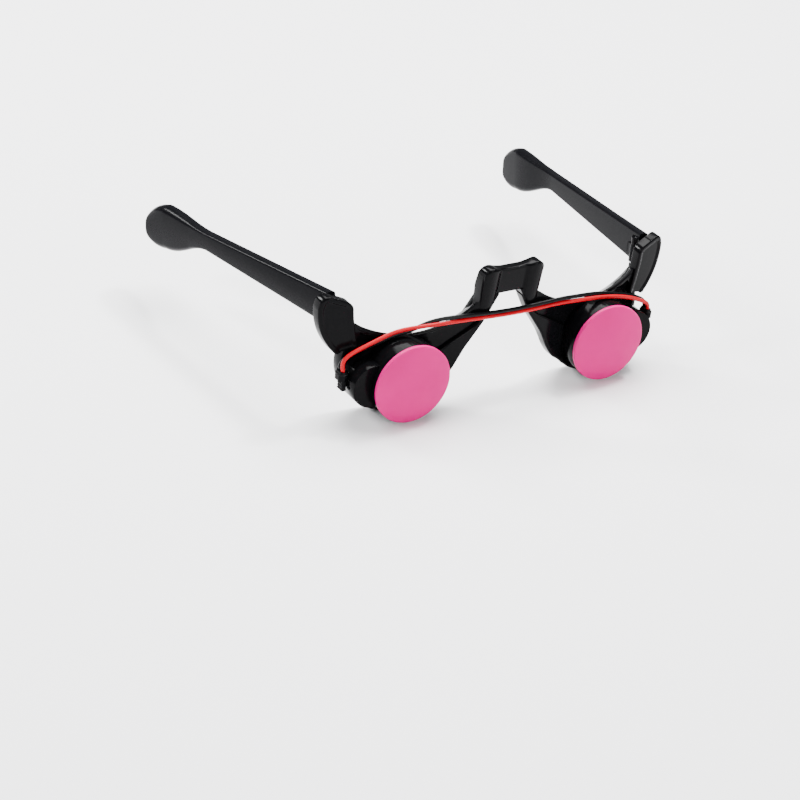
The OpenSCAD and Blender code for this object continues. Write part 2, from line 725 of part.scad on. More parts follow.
front_frame();
nose_pad();
arm(1);  // arm_left
arm(-1);  // arm_right
hinge_screws();
lamp_housing(1);  // lamp_housing_left
lamp_housing(-1);  // lamp_housing_right
disc_cap(1);  // disc_left
disc_cap(-1);  // disc_right
reflector(1);  // reflector_left
reflector(-1);  // reflector_right
led_board(1);  // led_board_left
led_board(-1);  // led_board_right
led(1);  // led_left
led(-1);  // led_right
cell_tray(1);  // cell_tray_left
cell_tray(-1);  // cell_tray_right
coin_cell(1);  // coin_cell_left
coin_cell(-1);  // coin_cell_right
cell_contacts(1);  // cell_contacts_left
cell_contacts(-1);  // cell_contacts_right
lamp_screws();
switch_body();
switch_knob();
wire_gland(1);  // wire_gland_left
wire_gland(-1);  // wire_gland_right
red_wire();
black_wire();
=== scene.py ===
import bpy
import numpy as np
from mathutils import Matrix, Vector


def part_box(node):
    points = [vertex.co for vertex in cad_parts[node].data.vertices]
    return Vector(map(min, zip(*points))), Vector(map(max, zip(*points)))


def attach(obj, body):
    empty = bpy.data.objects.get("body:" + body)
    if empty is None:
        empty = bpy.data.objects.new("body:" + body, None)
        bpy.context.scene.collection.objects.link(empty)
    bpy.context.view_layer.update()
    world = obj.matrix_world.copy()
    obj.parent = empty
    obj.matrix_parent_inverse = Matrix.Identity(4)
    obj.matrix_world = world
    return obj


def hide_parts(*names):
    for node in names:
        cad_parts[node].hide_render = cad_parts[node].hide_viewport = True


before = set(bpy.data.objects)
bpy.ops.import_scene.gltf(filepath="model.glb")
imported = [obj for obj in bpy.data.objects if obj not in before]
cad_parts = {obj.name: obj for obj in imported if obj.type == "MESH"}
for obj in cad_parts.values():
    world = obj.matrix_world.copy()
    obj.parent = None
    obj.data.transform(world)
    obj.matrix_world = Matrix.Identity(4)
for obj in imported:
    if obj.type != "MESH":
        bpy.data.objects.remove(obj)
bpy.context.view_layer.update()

# The picture
# The glasses stand open on a pale floor and are seen from above, over the wearer's right.
# Sizes of pieces are in millimetres from "home", the point midway between the two discs, and the
# camera and the lights stand in metres from it.

mm = 0.001
dome_front = 2.45
disc_low, disc_high = np.array(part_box("disc_left"))
home = np.array([0.0, disc_low[1] + dome_front * mm, (disc_low[2] + disc_high[2]) / 2])


def stand(name, data, right, up, back, place):
    """An object at a place, whose own axes point right, up and back."""
    item = bpy.data.objects.new(name, data)
    columns = np.column_stack([right, up, back, place])
    item.matrix_world = Matrix(np.vstack([columns, [0, 0, 0, 1]]).tolist())
    bpy.context.scene.collection.objects.link(item)
    return item


def place_camera():
    """Pinhole view: azimuth, elevation and roll turn it, and home_px is where home is seen."""
    azimuth, elevation, roll = np.radians([-33.59, 29.68, 5.96])
    distance, focal_px, home_px, half_frame = 0.7577, 2270.0, (512.38, 362.72), 400.0
    level = np.cos(elevation)
    back = np.array([np.sin(azimuth) * level, -np.cos(azimuth) * level, np.sin(elevation)])
    right = np.array([np.cos(azimuth), np.sin(azimuth), 0.0])
    up = np.cross(back, right)
    right, up = (np.cos(roll) * right + np.sin(roll) * up,
                 np.cos(roll) * up - np.sin(roll) * right)
    shift_right, shift_up = (np.array(home_px) - half_frame) * distance / focal_px
    eye = home + back * distance - shift_right * right + shift_up * up
    data = bpy.data.cameras.new("camera")
    data.sensor_width = 36.0
    data.lens = focal_px * data.sensor_width / (2 * half_frame)
    data.clip_start, data.clip_end = 0.01, 20.0
    bpy.context.scene.camera = stand("camera", data, right, up, back, eye)


def add_softbox(name, offset, size, power):
    """A square area light at an offset from home, turned towards home."""
    data = bpy.data.lights.new(name, "AREA")
    data.shape, data.size, data.energy = "SQUARE", size, power
    back = np.array(offset) / np.linalg.norm(offset)
    right = np.cross([0.0, 0.0, 1.0], back)
    right /= np.linalg.norm(right)
    stand(name, data, right, np.cross(back, right), back, home + np.array(offset))


place_camera()
add_softbox("softbox_over", (0.2, 0.45, 1.1), 1.0, 58.0)
add_softbox("softbox_right", (0.5, 0.15, 0.9), 0.13, 10.0)
add_softbox("softbox_left", (-0.9, 0.25, 0.6), 0.22, 9.0)
add_softbox("softbox_front", (0.1, -1.1, 0.45), 0.5, 12.0)
add_softbox("softbox_back", (-0.56, 0.86, 0.55), 0.2, 11.0)

world = bpy.data.worlds.new("studio")
world.use_nodes = True
background = world.node_tree.nodes["Background"]
background.inputs["Color"].default_value = (0.92, 0.93, 0.95, 1)
background.inputs["Strength"].default_value = 0.35
bpy.context.scene.world = world


def mesh_piece(name, points, faces, smooth=True):
    """A mesh object at the origin from arrays of points and faces."""
    mesh = bpy.data.meshes.new(name)
    mesh.from_pydata(points.tolist(), [], [tuple(f) for f in faces])
    mesh.polygons.foreach_set("use_smooth", np.full(len(mesh.polygons), smooth))
    mesh.update()
    piece = bpy.data.objects.new(name, mesh)
    bpy.context.scene.collection.objects.link(piece)
    return piece


def new_material(name):
    """A material and its shader."""
    material = bpy.data.materials.new(name)
    material.use_nodes = True
    return material, material.node_tree.nodes["Principled BSDF"]


floor_reach = 3.0
floor_corners = floor_reach * np.array([[-1, -1, 0], [1, -1, 0], [1, 1, 0], [-1, 1, 0]])
floor = mesh_piece("floor", floor_corners, [(0, 1, 2, 3)])
floor_paint, shader = new_material("floor_paint")
shader.inputs["Base Color"].default_value = (0.86, 0.86, 0.87, 1)
shader.inputs["Roughness"].default_value = 0.7
floor.data.materials.append(floor_paint)

# Red and black wires
# Two thin leads of stranded copper in smooth coloured insulation. They leave the rubber gland of
# one lamp, run over the bridge side by side and go into the gland of the other lamp.

wire_r, wire_sides, route_steps, route_softness = 0.7, 20, 8, 4
gland_x, gland_z, gland_rows = 61.0, 5.0, (8.05, 9.85)
red_route = [
    (-gland_x, gland_rows[0], gland_z), (-61.2, 8.3, 8.2), (-58.6, 8.8, 10.2), (-53, 8.8, 12.2),
    (-47, 8.5, 14.3), (-42, 8, 16), (-36, 7.3, 16.5), (-29, 6.5, 16.6), (-21, 6, 16.6),
    (-12, 5.5, 16.4), (-4, 5.2, 16.1), (4, 5, 16), (12, 5.2, 16), (21, 5.5, 16),
    (30, 5.7, 15.4), (38, 5.8, 14.9), (46, 6.2, 13.4), (52.5, 6.9, 11.3), (57.4, 7.6, 9),
    (60.4, 7.9, 7.2), (gland_x, gland_rows[0], gland_z)]
black_route = [
    (-gland_x, gland_rows[1], gland_z), (-60.9, 10, 7), (-58, 10.3, 8.9), (-53, 10.1, 10.8),
    (-47, 9.3, 12.7), (-42, 8.7, 14.4), (-36, 8.4, 15), (-29, 8, 17.3), (-21, 6.3, 18.4),
    (-12, 5.5, 18.1), (-4, 5.2, 17.8), (4, 5, 17.7), (12, 5.2, 17.7), (21, 5.7, 17.7),
    (30, 6.5, 16.9), (38, 7.5, 15.6), (46.5, 8.2, 13.3), (52.5, 8.9, 11.4), (57, 9.5, 9.5),
    (60.2, 9.9, 7.4), (gland_x, gland_rows[1], gland_z)]


def smooth_route(route, steps):
    """A cubic from each point b to the next point c, led by their neighbours a and d."""
    points = np.array(route, float)
    points = np.vstack([2 * points[0] - points[1], points, 2 * points[-1] - points[-2]])
    a, b, c, d = (points[k:len(points) - 3 + k, None, :] for k in range(4))
    t = (np.arange(steps) / steps)[None, :, None]
    bend = (2 * a - 5 * b + 4 * c - d) * t**2
    turn = (3 * b - a - 3 * c + d) * t**3
    curve = 0.5 * (2 * b + (c - a) * t + bend + turn)
    return np.vstack([curve.reshape(-1, points.shape[1]), points[-2]])


def relaxed(line, reach):
    """Each point becomes the mean of those up to "reach" away, fewer of them near the ends."""
    total = np.vstack([np.zeros(line.shape[1]), np.cumsum(line, axis=0)])
    index = np.arange(len(line))
    half = np.minimum(reach, np.minimum(index, len(line) - 1 - index))
    return (total[index + half + 1] - total[index - half]) / (2 * half + 1)[:, None]


def tube_points(line, across, deep, sides, power=1.0):
    """Ovals square to a line: deep * |cos|^power towards Y and across * |sin|^power."""
    along = np.gradient(line, axis=0)
    along /= np.linalg.norm(along, axis=1, keepdims=True)
    over = np.cross(along, [0.0, 1.0, 0.0])
    over /= np.linalg.norm(over, axis=1, keepdims=True)
    out = np.cross(over, along)
    turn = np.arange(sides) * 2 * np.pi / sides
    wave = [np.sign(f) * np.abs(f)**power for f in (np.cos(turn), np.sin(turn))]
    deep, across = (np.broadcast_to(size, len(line))[:, None, None] for size in (deep, across))
    return (line[:, None, :] + deep * wave[0][None, :, None] * out[:, None, :]
            + across * wave[1][None, :, None] * over[:, None, :])


def ring_faces(count, sides):
    """Quads between neighbouring points of rings that are stored one after the other."""
    first = np.arange(count - 1)[:, None] * sides
    point = np.arange(sides)[None, :]
    beside = (point + 1) % sides
    corners = [first + point, first + beside, first + sides + beside, first + sides + point]
    return np.stack(corners, axis=-1).reshape(-1, 4).tolist()


def closed_tube(name, rings):
    """A surface through rings of points, closed at both ends by a flat face."""
    count, sides = rings.shape[:2]
    faces = ring_faces(count, sides)
    faces += [list(range(sides))[::-1], list(range((count - 1) * sides, count * sides))]
    return mesh_piece(name, rings.reshape(-1, 3), faces)


def noise_value(tree, scale, detail, place):
    """Noise over a place, as a socket from 0 to 1."""
    noise = tree.nodes.new("ShaderNodeTexNoise")
    noise.inputs["Scale"].default_value = scale
    noise.inputs["Detail"].default_value = detail
    tree.links.new(place, noise.inputs["Vector"])
    return noise.outputs["Fac"]


def spread(tree, value, low, high):
    """Map a value from 0 to 1 onto low to high."""
    fit = tree.nodes.new("ShaderNodeMapRange")
    fit.inputs["To Min"].default_value, fit.inputs["To Max"].default_value = low, high
    tree.links.new(value, fit.inputs["Value"])
    return fit.outputs["Result"]


def build_moulded_surface():
    """Node group: colour with soft blotches and dust, uneven polish and a fine grain."""
    group = bpy.data.node_groups.new("moulded_surface", "ShaderNodeTree")
    taken = (("Colour", "NodeSocketColor", (0.5, 0.5, 0.5, 1)),
             ("Dust", "NodeSocketFloat", 0.1),
             ("Polish", "NodeSocketFloat", 0.35),
             ("Polish Spread", "NodeSocketFloat", 0.1),
             ("Grain Size", "NodeSocketFloat", 2500.0),
             ("Grain Depth", "NodeSocketFloat", 0.05))
    given = (("Colour", "NodeSocketColor"),
             ("Roughness", "NodeSocketFloat"),
             ("Normal", "NodeSocketVector"))
    for name, kind, value in taken:
        socket = group.interface.new_socket(name, in_out="INPUT", socket_type=kind)
        socket.default_value = value
    for name, kind in given:
        group.interface.new_socket(name, in_out="OUTPUT", socket_type=kind)
    nodes, links = group.nodes, group.links
    source, sink = nodes.new("NodeGroupInput"), nodes.new("NodeGroupOutput")
    place = nodes.new("ShaderNodeTexCoord").outputs["Object"]
    blotch = noise_value(group, 90.0, 4.0, place)
    fine = noise_value(group, 700.0, 3.0, place)
    dust = nodes.new("ShaderNodeMath")
    dust.operation = "MULTIPLY"
    links.new(spread(group, fine, -0.6, 1.0), dust.inputs[0])
    links.new(source.outputs["Dust"], dust.inputs[1])
    dusty = nodes.new("ShaderNodeMix")
    dusty.data_type = "RGBA"
    dusty.inputs["B"].default_value = (0.42, 0.41, 0.40, 1)
    links.new(dust.outputs[0], dusty.inputs["Factor"])
    links.new(source.outputs["Colour"], dusty.inputs["A"])
    shade = nodes.new("ShaderNodeMix")
    shade.data_type, shade.blend_type = "RGBA", "MULTIPLY"
    shade.inputs["Factor"].default_value = 1.0
    grey = nodes.new("ShaderNodeCombineColor")
    for channel in ("Red", "Green", "Blue"):
        links.new(spread(group, blotch, 0.82, 1.12), grey.inputs[channel])
    links.new(dusty.outputs["Result"], shade.inputs["A"])
    links.new(grey.outputs["Color"], shade.inputs["B"])
    links.new(shade.outputs["Result"], sink.inputs["Colour"])
    uneven = nodes.new("ShaderNodeMath")
    uneven.operation = "MULTIPLY_ADD"
    links.new(spread(group, blotch, -1.0, 1.0), uneven.inputs[0])
    links.new(source.outputs["Polish Spread"], uneven.inputs[1])
    links.new(source.outputs["Polish"], uneven.inputs[2])
    links.new(uneven.outputs[0], sink.inputs["Roughness"])
    grain = nodes.new("ShaderNodeTexNoise")
    grain.inputs["Detail"].default_value = 2.0
    links.new(place, grain.inputs["Vector"])
    links.new(source.outputs["Grain Size"], grain.inputs["Scale"])
    bump = nodes.new("ShaderNodeBump")
    bump.inputs["Distance"].default_value = 0.0002
    links.new(source.outputs["Grain Depth"], bump.inputs["Strength"])
    links.new(grain.outputs["Fac"], bump.inputs["Height"])
    links.new(bump.outputs["Normal"], sink.inputs["Normal"])
    return group


moulded_surface = build_moulded_surface()


def moulded(name, colour, dust, polish, polish_spread, grain_size, grain_depth,
            mirror_level=0.5, metallic=0.0):
    """A material whose colour, roughness and normal come from the moulded surface."""
    material, shader = new_material(name)
    nodes, links = material.node_tree.nodes, material.node_tree.links
    surface = nodes.new("ShaderNodeGroup")
    surface.node_tree = moulded_surface
    surface.inputs["Colour"].default_value = (*colour, 1)
    for socket, value in (("Dust", dust), ("Polish", polish), ("Polish Spread", polish_spread),
                          ("Grain Size", grain_size), ("Grain Depth", grain_depth)):
        surface.inputs[socket].default_value = value
    links.new(surface.outputs["Colour"], shader.inputs["Base Color"])
    links.new(surface.outputs["Roughness"], shader.inputs["Roughness"])
    links.new(surface.outputs["Normal"], shader.inputs["Normal"])
    shader.inputs["Specular IOR Level"].default_value = mirror_level
    shader.inputs["Metallic"].default_value = metallic
    return material


bridge_x, bridge_half = 4.0, 36.0


def add_wire(name, route, settle, colour, node):
    """A tube along its softened route, "settle" lower over the bridge and less so beyond it."""
    line = relaxed(smooth_route(route, route_steps), route_softness)
    from_middle = (line[:, 0] - bridge_x) / bridge_half
    line[:, 2] -= settle * np.clip(2 - 2 * from_middle**2, 0, 1)
    line = home + mm * line
    wire = closed_tube(name, tube_points(line, wire_r * mm, wire_r * mm, wire_sides))
    insulation = moulded(name + "_insulation", colour, dust=0.004, polish=0.28,
                         polish_spread=0.06, grain_size=1800.0, grain_depth=0.03,
                         mirror_level=0.08)
    wire.data.materials.append(insulation)
    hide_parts(node)
    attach(wire, "front")


add_wire("red_lead", red_route, 0.0, (0.42, 0.0005, 0.008), "red_wire")
add_wire("black_lead", black_route, 0.26, (0.003, 0.003, 0.0035), "black_wire")

# Front frame
# One injection moulding of black plastic: two half rims that dip under the eyes, struts up to the
# saddle on the nose, and an end plate on each side with the hinge knuckles behind it.


def dress(node, material, bevel=0.0):
    """Give a node its material and, where a bevel is named, welded and rounded edges."""
    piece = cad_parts[node]
    piece.data.materials.clear()
    piece.data.materials.append(material)
    if bevel:
        weld = piece.modifiers.new("weld", "WELD")
        weld.merge_threshold = 0.00001
        round_off = piece.modifiers.new("round_off", "BEVEL")
        round_off.width, round_off.segments = bevel * mm, 3
        round_off.limit_method, round_off.angle_limit = "ANGLE", np.radians(28)
        round_off.use_clamp_overlap = True
        round_off.harden_normals = True


frame_black = moulded("frame_black", (0.002, 0.002, 0.0024), dust=0.003, polish=0.12,
                      polish_spread=0.03, grain_size=1500.0, grain_depth=0.02,
                      mirror_level=0.035)
dress("front_frame", frame_black, 0.3)

both_sides = (("left", 1), ("right", -1))
front_back, front_curve = 6.3, 260.0
front_half, plate_turn, hinge_up = 67.8, 22.2, 22.6
plate_proud, plate_back, plate_roll, lip_step, lip_edge = 1.1, 3.02, 0.62, 0.4, (1.25, 2.0)
strut_proud, strut_back, strut_roll, rear_roll = 0.15, 4.42, 0.95, 0.4
saddle_front, saddle_lean, saddle_foot, saddle_roll = 6.42, 0.125, 20.6, 0.9
saddle_rear, rear_bend, rear_lean = 10.74, 26.6, 0.274
cushion_x, cushion_half, cushion_swell, valley_depth, valley_edge = 8.7, 3.0, 0.7, 0.7, (4.9, 6.0)
outline_points, across_points = 90, 40


def arc(centre, radius, start, end, steps):
    """Points (x, z) on an arc, in degrees."""
    a = np.radians(np.linspace(start, end, steps))
    return (np.array(centre) + radius * np.column_stack([np.cos(a), np.sin(a)])).tolist()


def even_points(outline, count):
    """The outline made smooth and cut into equal lengths."""
    line = smooth_route(outline, route_steps)
    steps = np.linalg.norm(np.diff(line, axis=0), axis=1)
    run = np.concatenate([[0], np.cumsum(steps)])
    marks = np.linspace(0, run[-1], count)
    return np.column_stack([np.interp(marks, run, line[:, k]) for k in range(2)])


def distance_to(points, line):
    """Distance from each point to the nearest stretch of a line of points, all (x, z)."""
    start, step = line[:-1], np.diff(line, axis=0)
    away = points[..., None, :] - start
    t = np.clip((away * step).sum(axis=-1) / np.maximum((step**2).sum(axis=-1), 1e-12), 0, 1)
    return np.linalg.norm(away - t[..., None] * step, axis=-1).min(axis=-1)


def ease(value, low, high):
    """0 below low, 1 above high and t * t * (3 - 2t) between them."""
    t = np.clip((value - low) / (high - low), 0, 1)
    return t * t * (3 - 2 * t)


def roll_off(gap, radius):
    """Depth of a rounded edge at a distance from its outline: r - sqrt(r^2 - (r - gap)^2)."""
    return radius - np.sqrt(radius**2 - (radius - np.clip(gap, 0, radius))**2)


def add_moulding(name, first, second, face, back, roll, sign):
    """A closed moulding between two outlines: face and back are depths over (x, z)."""
    first, second = (even_points(outline, outline_points) for outline in (first, second))
    across = (1 - np.cos(np.linspace(0, np.pi, across_points)))[None, :, None] / 2
    place = first[:, None, :] + (second - first)[:, None, :] * across
    gap = np.minimum(distance_to(place, first), distance_to(place, second))
    x, z = place[..., 0], place[..., 1]
    front = face(x, z, gap) + roll_off(gap, roll)
    rear = back(x, z) - roll_off(gap, rear_roll)
    halves = [np.stack([x, front, z], axis=-1), np.stack([x, rear, z], axis=-1)[:, ::-1]]
    rings = np.concatenate(halves, axis=1) * [sign, 1, 1]
    piece = closed_tube(name, home + mm * rings[:, ::-sign])
    piece.data.materials.append(frame_black)
    piece.data.set_sharp_from_angle(angle=np.radians(50))
    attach(piece, "front")


def curve_back(x):
    """Depth of the curved front at x: b + R - sqrt(R^2 - x^2)."""
    return front_back + front_curve - np.sqrt(front_curve**2 - x**2)


def plate_face(x, z, gap):
    """The end plate's face: a raised lip with a shallow hollow inside it."""
    return curve_back(x) - plate_proud + lip_step * ease(gap, *lip_edge)


def saddle_face(x, z, gap):
    """The saddle's face leans forwards; its wings are cushions and its middle is a valley."""
    from_wing = (np.abs(x) - cushion_x) / cushion_half
    cushion = cushion_swell * np.clip(1 - from_wing**2, 0, 1)
    valley = valley_depth * (1 - ease(np.abs(x), *valley_edge))
    return saddle_front - saddle_lean * (z - saddle_foot) - cushion + valley


def saddle_back(x, z):
    """The saddle's back: upright below, then leaning forwards like the face."""
    return saddle_rear - np.maximum(0, z - rear_bend) * rear_lean


def both_halves(outline):
    """The outline with its mirror image from x to -x after it."""
    return outline + [[-x, z] for x, z in outline[::-1] if x]


inner_edge = ([[54.1, 11.0], [55.2, 15.5], [56.1, 20.6], [56.45, 23.6]]
              + arc((60.0, 24.4), 3.5, 170, 112, 6) + [[61.7, 28.8]])
outer_edge = (arc((front_half - plate_turn, hinge_up + 2.2), plate_turn + 0.3, -44, 3, 12)
              + arc((64.9, 26.8), 2.9, 30, 98, 6) + [[61.9, 28.8]])
nasal_outer = [[5.3, 21.0], [9.0, 13.9], [12.1, 9.45], [15.2, 5.0], [17.1, 1.6], [18.9, -1.8],
               [21.7, -5.65], [24.75, -7.85], [27.0, -9.9], [29.8, -11.7]]
nasal_inner = [[10.7, 20.6], [10.9, 15.4], [13.2, 12.7], [17.3, 10.4], [22.2, 7.6], [24.6, 5.2],
               [25.9, 0.5], [26.5, -4.5], [28.0, -8.4], [30.4, -10.8]]
saddle_top = [[12.1, 18.5], [11.55, 21.5], [11.75, 25.5], [11.85, 30.2], [11.3, 32.6],
              [9.9, 33.9], [8.3, 34.1], [6.2, 33.45], [3.2, 32.95], [0, 32.85]]
saddle_low = [[6.9, 18.6], [5.6, 21.2], [4.35, 23.1], [3.6, 23.5], [1.8, 23.5], [0, 23.5]]
for side, sign in both_sides:
    add_moulding(f"end_plate_{side}", outer_edge, inner_edge, plate_face,
                 lambda x, z: curve_back(x) + plate_back, plate_roll, sign)
    add_moulding(f"nasal_edge_{side}", nasal_outer, nasal_inner,
                 lambda x, z, gap: curve_back(x) - strut_proud,
                 lambda x, z: curve_back(x) + strut_back, strut_roll, sign)
add_moulding("saddle", both_halves(saddle_top), both_halves(saddle_low),
             saddle_face, saddle_back, saddle_roll, 1)

brow_x, brow_low, brow_slant, brow_inset, brow_cut = 33.0, 13.7, 40.18, 0.75, np.radians(30)
brow_from, brow_to, brow_points = 12.6, 55.8, 14
bead_r, bead_depth, bead_ends, bead_points = 0.8, 0.6, 0.06, 70


def add_bead(name, outline, sign):
    """A rounded ridge that follows an outline on the front and sinks into it at both ends."""
    line = even_points(outline, bead_points)
    along = np.linspace(0, 1, len(line))
    to_end = np.clip(np.minimum(along, 1 - along) / bead_ends, 0, 1)
    sink = bead_depth + bead_r * (1 - np.sqrt(to_end))
    centre = np.column_stack([line[:, 0], curve_back(line[:, 0]) + sink, line[:, 1]])
    centre = home + mm * centre * [sign, 1, 1]
    bead = closed_tube(name, tube_points(centre, bead_r * mm, bead_r * mm, 20))
    bead.data.materials.append(frame_black)
    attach(bead, "front")


brow_at = np.linspace(brow_from, brow_to, brow_points)
brow_fall = np.tan(brow_cut) * (curve_back(brow_at) - curve_back(brow_x))
brow_drop = np.sqrt((brow_slant + brow_inset)**2 - (brow_at - brow_x)**2)
brow_rise = (brow_slant - brow_drop) / np.cos(brow_cut)
brow_lip = np.column_stack([brow_at, brow_low - brow_fall + brow_rise])
for side, sign in both_sides:
    add_bead(f"brow_ridge_{side}", brow_lip, sign)

# Nose pad
# A soft arch of matte black rubber, glued behind the saddle where the frame meets the nose. It is
# an oval bar that narrows at the top and ends in round feet.

pad_black = moulded("pad_black", (0.008, 0.008, 0.009), dust=0.02, polish=0.5,
                    polish_spread=0.05, grain_size=3000.0, grain_depth=0.12, mirror_level=0.15)

pad_depth, pad_half_depth, pad_power, pad_end, pad_sides = 5.55, 1.08, 0.75, 2.2, 28
pad_half_width, pad_narrowing, pad_top_x, pad_blend = 2.15, 0.55, 6.5, 4
pad_leg = [[14.2, 12.0], [10.8, 17.3], [7.6, 22.2], [5.2, 24.2], [2.6, 24.6]]
pad_x, pad_z = smooth_route(both_halves(pad_leg), 12).T
pad_line = home + mm * np.column_stack([pad_x, curve_back(pad_x) + pad_depth, pad_z])
pad_steps = np.linalg.norm(np.diff(pad_line, axis=0), axis=1)
pad_run = np.concatenate([[0], np.cumsum(pad_steps)])
to_end = np.minimum(pad_run, pad_run[-1] - pad_run) / mm
rounding = np.sqrt(1 - (1 - np.clip(to_end / pad_end, 0.01, 1))**2)
at_top = np.clip((pad_top_x - np.abs(pad_x)) / pad_blend, 0, 1)
half_width = (pad_half_width - pad_narrowing * at_top) * rounding * mm
half_depth = pad_half_depth * rounding * mm
pad = closed_tube("bridge_pad", tube_points(pad_line, half_width, half_depth, pad_sides, pad_power))
pad.data.materials.append(pad_black)
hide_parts("nose_pad")
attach(pad, "front")

# Arms
# Two deep flat arms of glossy black plastic, each moulded in one piece. The outer face is slightly
# crowned, and swells into a thick round paddle behind the ear. The front end is a pocket that
# covers the hinge, with a knuckle inside for the hinge screw.

arm_black = moulded("arm_black", (0.003, 0.003, 0.0038), dust=0.004, polish=0.2,
                    polish_spread=0.05, grain_size=1500.0, grain_depth=0.03, mirror_level=0.02)

arm_len, arm_t, arm_h, neck_h = 105.6, 4.1, 11.5, 6.4
arm_out, arm_y, arm_top = 62.5, 17.740, 29.4
paddle_len, paddle_h, paddle_t, paddle_mid, paddle_sink = 38.0, 16.4, 6.2, 6.1, 0.2
tip_len, tip_power, arm_end, end_round = 11.0, 2.2, arm_len + 1.2, 2.6
edge_r, edge_swell, crown = 0.9, 1.7, 0.8
corner_steps, crown_steps = 10, 8
splay, drop = np.radians([8.0, 6.8])
hinge_x, hinge_y, hinge_bore = 61.2, 19.8, 0.85
knuckle_r, knuckle_low, knuckle_h = 1.9, 20.8, 3.6
web_half, web_inset, web_past = 1.6, 0.01, 0.6
pocket_back, pocket_top, pocket_side, pocket_over, pocket_ahead = 22, 27.24, 63.22, 1.5, 2


def arm_section(u):
    """Half height, middle, thickness, edge radius and closing of the arm at u along it."""
    full, start = arm_len - tip_len, arm_len - paddle_len
    past = np.maximum(0, u - full)
    swell = ease(u, start, full)
    tip = np.maximum(0, 1 - (past / (arm_end - full))**tip_power)**(1 / tip_power)
    depth = arm_h + (neck_h - arm_h) * np.clip(u / start, 0, 1)
    half = (depth + (paddle_h - depth) * swell) / 2 * tip
    middle = -depth / 2 + (depth / 2 - paddle_mid - paddle_sink * past) * swell
    full_thick = arm_t + (paddle_t - arm_t) * swell
    to_end = np.clip((arm_end - u) / end_round, 0.0002, 1)
    thick = full_thick * np.sqrt(1 - (1 - to_end)**2)
    edge = np.minimum(edge_r + edge_swell * swell, np.minimum(0.475 * thick, 0.95 * half))
    return half, middle, thick, edge, (full_thick - thick) / 2


def arm_shape():
    """Rings of a rectangle with round corners, its outer face lowered by crown * (z / half)^2."""
    start, full = arm_len - paddle_len, arm_len - tip_len
    near_end = full + (arm_end - full) * np.sin(np.radians(np.linspace(2, 89, 34)))
    u = np.concatenate([np.linspace(0, start, 30), np.linspace(start, full, 45)[1:], near_end])
    u = u[:, None]
    half, middle, thick, edge, closing = arm_section(u)
    quarters = [np.linspace(90 * c, 90 * c + 90, corner_steps) for c in range(4)]
    a = np.append(np.radians(np.concatenate(quarters)), np.zeros(crown_steps))
    outside = np.append(np.repeat([1, 0, 0, 1], corner_steps), np.ones(crown_steps))
    lever = np.append(np.repeat([1.0, 1.0, -1.0, -1.0], corner_steps),
                      np.linspace(-1, 1, crown_steps + 2)[1:-1])
    z = middle + lever * (half - edge) + edge * np.sin(a)
    x = np.where(outside, arm_t / 2 - edge, arm_t / 2 - thick + edge) + edge * np.cos(a)
    bulge = ((z - middle) / np.maximum(half, 0.1))**2 * np.clip(half / 5, 0, 1)**2
    x = x - closing - crown * outside * bulge
    y = np.where(u > 0, u + 0 * z, x * np.tan(splay) - z * np.tan(drop))
    return np.stack([x, y, z], axis=-1)


def into_place(rings, sign):
    """From the arm's own frame: drop about X, splay about Z, then to its place and side."""
    x, y, z = np.moveaxis(rings, -1, 0)
    y, z = y * np.cos(drop) + z * np.sin(drop), z * np.cos(drop) - y * np.sin(drop)
    x, y = x * np.cos(splay) + y * np.sin(splay), y * np.cos(splay) - x * np.sin(splay)
    placed = np.stack([sign * (x + arm_out), y + arm_y, z + arm_top], axis=-1)
    return home + mm * placed[:, ::sign]


def box_piece(name, low, high):
    """A closed block between two corners."""
    corner = np.array([[x, y, z] for x in (0, 1) for y in (0, 1) for z in (0, 1)], float)
    faces = [(0, 1, 3, 2), (4, 6, 7, 5), (0, 4, 5, 1), (2, 3, 7, 6), (0, 2, 6, 4), (1, 5, 7, 3)]
    points = np.array(low) + corner * (np.array(high) - np.array(low))
    return mesh_piece(name, home + mm * points, faces, False)


def upright_tube(name, radius, low, high, centre, sides):
    """A closed round bar along Z."""
    turn = np.arange(sides) * 2 * np.pi / sides
    ring = np.stack([centre[0] + radius * np.cos(turn), centre[1] + radius * np.sin(turn),
                     0 * turn], axis=-1)
    return closed_tube(name, home + mm * np.stack([ring + [0, 0, low], ring + [0, 0, high]]))


def carve(piece, steps):
    """Join or cut the piece with other closed pieces in turn, and keep only the result."""
    for tool, operation in steps:
        step = piece.modifiers.new(tool.name, "BOOLEAN")
        step.object, step.operation, step.solver = tool, operation, "EXACT"
    result = piece.evaluated_get(bpy.context.evaluated_depsgraph_get())
    carved = bpy.data.meshes.new_from_object(result)
    piece.modifiers.clear()
    piece.data = carved
    for tool, _ in steps:
        bpy.data.objects.remove(tool)


for side, sign in both_sides:
    arm = closed_tube(f"temple_{side}", into_place(arm_shape(), sign))
    pin = np.array([sign * hinge_x, hinge_y])
    wall_low, wall_high = sorted([sign * (arm_out - arm_t / 2 - pocket_over), sign * pocket_side])
    web_low, web_high = sorted([sign * (hinge_x - web_half), sign * (hinge_x + web_half)])
    knuckle_top = knuckle_low + knuckle_h
    pocket = box_piece("pocket", (wall_low, arm_y - pocket_ahead, 0),
                       (wall_high, pocket_back, pocket_top))
    knuckle = upright_tube("knuckle", knuckle_r, knuckle_low, knuckle_top, pin, 48)
    web = box_piece("web", (web_low, pin[1], knuckle_low + web_inset),
                    (web_high, pocket_back + web_past, knuckle_top - web_inset))
    bore = upright_tube("bore", hinge_bore, knuckle_low - 1, knuckle_top + 1, pin, 32)
    carve(arm, [(pocket, "DIFFERENCE"), (knuckle, "UNION"), (web, "UNION"), (bore, "DIFFERENCE")])
    arm.data.set_sharp_from_angle(angle=np.radians(35))
    arm.data.materials.clear()
    arm.data.materials.append(arm_black)
    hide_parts(f"arm_{side}")
    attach(arm, f"{side}_arm")

